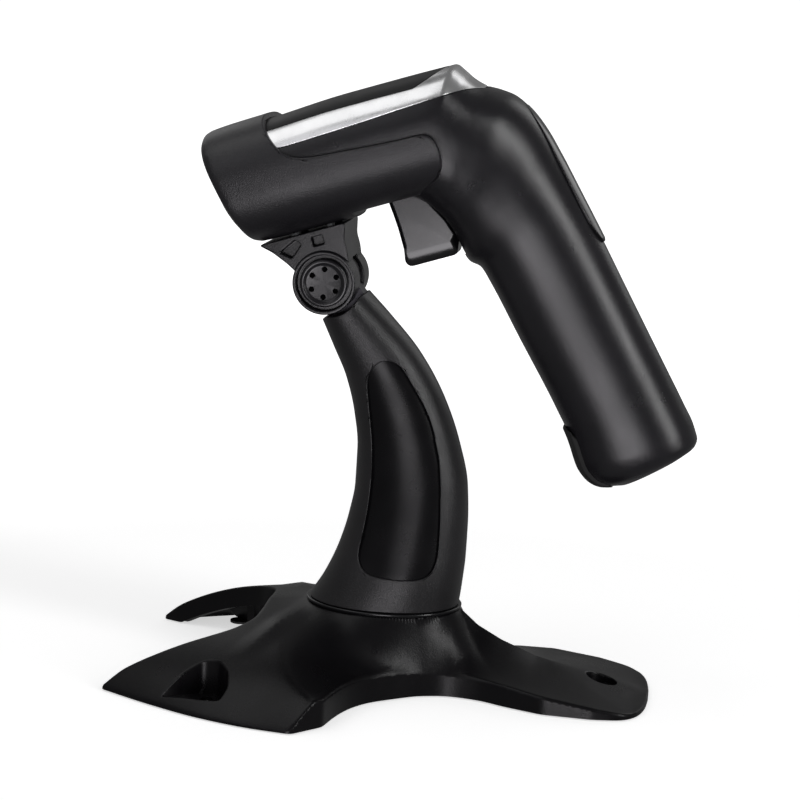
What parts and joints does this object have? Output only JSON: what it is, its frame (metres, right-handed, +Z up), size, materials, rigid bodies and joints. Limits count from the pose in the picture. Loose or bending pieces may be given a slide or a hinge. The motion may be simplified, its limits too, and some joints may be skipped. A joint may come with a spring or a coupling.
{
  "type": "handheld barcode scanner",
  "caption": "Pistol-grip barcode scanner with a squeeze trigger, resting in the tilting cup of a weighted hands-free counter stand with a curved pillar.",
  "frame": {"origin": "middle of the whole outline, on the surface the feet stand on", "axes": "+Z up, the scanner's nose points to -X and the grip hangs towards +X, the tilt axis lies along Y"},
  "size_m": [0.216, 0.1734, 0.2398],
  "materials": {
    "base_black": "semi-gloss black moulding with a fine grain",
    "pillar_black": "matte black moulding with a fine spark-eroded grain",
    "grained_black": "matte black moulding with a fine grain",
    "scanner_black": "satin black with soft broad highlights",
    "panel_black": "smooth black with a crisp sheen",
    "gloss_black": "smooth glossy black",
    "bright_trim": "bright plated trim",
    "rubber": "dull black rubber",
    "steel": "zinc-plated and turned steel",
    "window_glass": "dark red-tinted clear window",
    "lens_glass": "coated lens",
    "board_green": "green solder-masked circuit board",
    "component_black": "moulded component cases",
    "battery_grey": "shrink-wrapped cell"
  },
  "bodies": {
    "stand": {"base_shell": "base_black", "ballast_plate": "steel", "foot_front_left": "rubber", "foot_front_right": "rubber", "foot_middle_left": "rubber", "foot_middle_right": "rubber", "foot_rear": "rubber", "pillar_left": "pillar_black", "pillar_right": "pillar_black", "pillar_inlay_left": "gloss_black", "pillar_inlay_right": "gloss_black", "pillar_foot_ring": "gloss_black", "neck_screw_1": "steel", "neck_screw_2": "steel", "neck_screw_3": "steel", "neck_screw_4": "steel", "pillar_screw_1": "steel", "pillar_screw_2": "steel", "pivot_tongue": "steel"},
    "holder": {"holder_cup": "grained_black", "holder_bracket": "gloss_black", "cup_screw_front_left": "steel", "cup_screw_front_right": "steel", "cup_screw_rear_left": "steel", "cup_screw_rear_right": "steel", "pivot_bolt": "steel", "pivot_washer_left": "steel", "pivot_washer_right": "steel", "pivot_cap": "gloss_black"},
    "knob": {"tilt_knob": "gloss_black"},
    "scanner": {"scanner_body_left": "scanner_black", "scanner_body_right": "scanner_black", "chrome_trim": "bright_trim", "top_panel": "panel_black", "nose_bezel": "scanner_black", "scan_window": "window_glass", "back_insert": "gloss_black", "port_cover": "rubber", "trigger_pin": "steel", "trigger_spring": "steel", "trigger_switch": "component_black", "main_board": "board_green", "scan_engine": "component_black", "engine_lens": "lens_glass", "decoder_chip": "component_black", "ribbon_connector": "component_black", "beeper": "component_black", "body_screw_nose": "steel", "body_screw_heel": "steel", "body_screw_grip": "steel", "body_screw_foot": "steel", "battery": "battery_grey", "data_port": "steel"},
    "trigger": {"trigger": "gloss_black"}
  },
  "joints": [
    {"name": "head_tilt", "type": "hinge", "parent": "stand", "child": "holder", "pos_m": [-0.03592, 0, 0.1558], "axis": [0, 1, 0], "range_deg": [-45, 20]},
    {"name": "knob_turn", "type": "hinge", "parent": "holder", "child": "knob", "pos_m": [-0.03592, -0.0175, 0.1558], "axis": [0, -1, 0], "range_deg": [0, 180]},
    {"name": "scanner_lift", "type": "slide", "parent": "holder", "child": "scanner", "axis": [0.9474, 0, 0.32], "range_m": [0, 0.1]},
    {"name": "trigger_pull", "type": "hinge", "parent": "scanner", "child": "trigger", "pos_m": [-0.01191, 0, 0.19409], "axis": [0, -1, 0], "range_deg": [0, 8], "stiffness_Nm_per_rad": 0.6, "springref_deg": -8.59}
  ]
}
